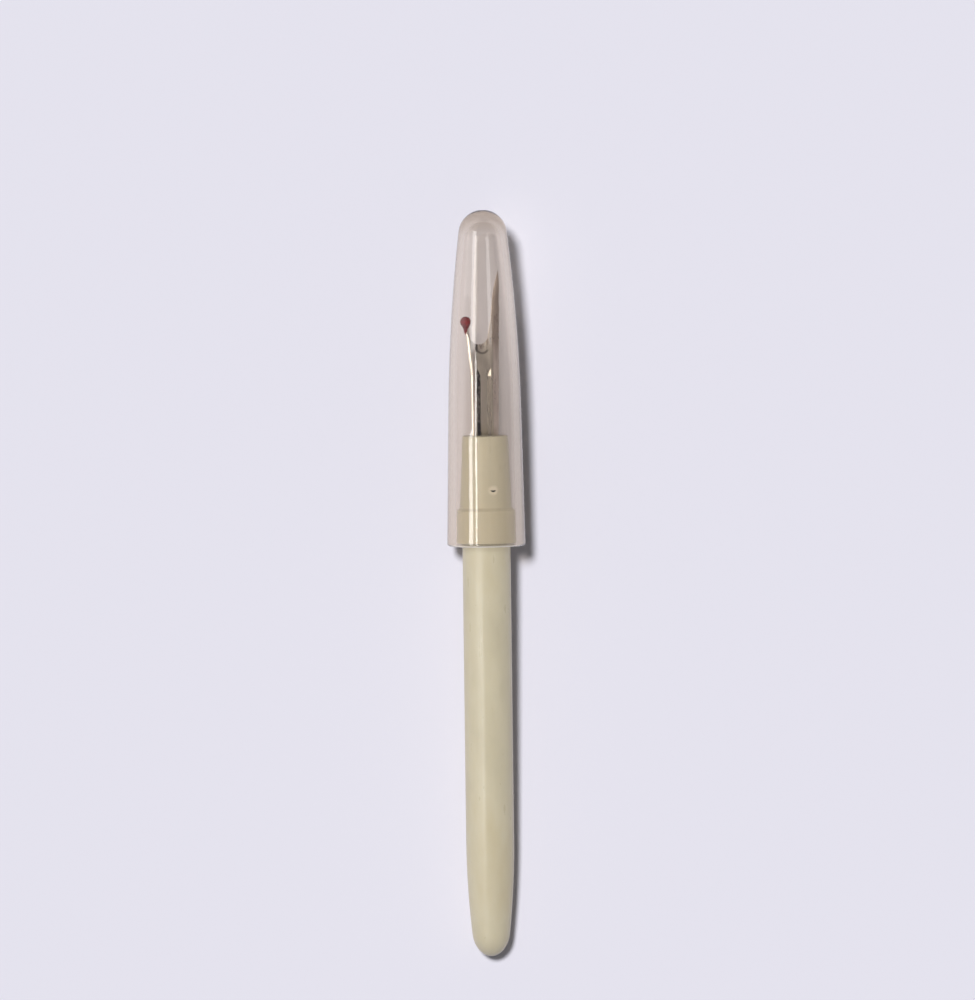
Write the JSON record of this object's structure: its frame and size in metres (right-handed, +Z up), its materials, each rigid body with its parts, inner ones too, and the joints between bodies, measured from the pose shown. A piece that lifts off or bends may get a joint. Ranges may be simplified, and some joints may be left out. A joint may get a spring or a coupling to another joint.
{
  "type": "seam ripper",
  "caption": "Seam ripper with a round ivory handle, a forked steel blade with a bead on its short prong, and a clear push-on cap that pulls off along the handle.",
  "frame": {"origin": "on the table under the middle of the capped tool", "axes": "+Z up from the table, +Y along the tool towards the tip of the cap, +X across the blade towards its long prong. The tool lies on its cap's rim and its tail, so its axis rises 2.72 degrees towards the cap"},
  "size_m": [0.0138, 0.132, 0.0146],
  "materials": {
    "ivory_plastic": "smooth moulded plastic with a soft gloss",
    "blade_steel": "grey stamped steel, bright on its ground and sheared edges",
    "red_plastic": "dark red glossy plastic",
    "clear_plastic": "clear moulded plastic with a faint warm tint"
  },
  "bodies": {
    "ripper": {"handle": "ivory_plastic", "forked_blade": "blade_steel", "safety_bead": "red_plastic"},
    "cap": {"clear_cap": "clear_plastic"}
  },
  "joints": [
    {"name": "cap_pull_off", "type": "slide", "parent": "ripper", "child": "cap", "axis": [0, 0.9989, 0.0475], "range_m": [0, 0.06]}
  ]
}
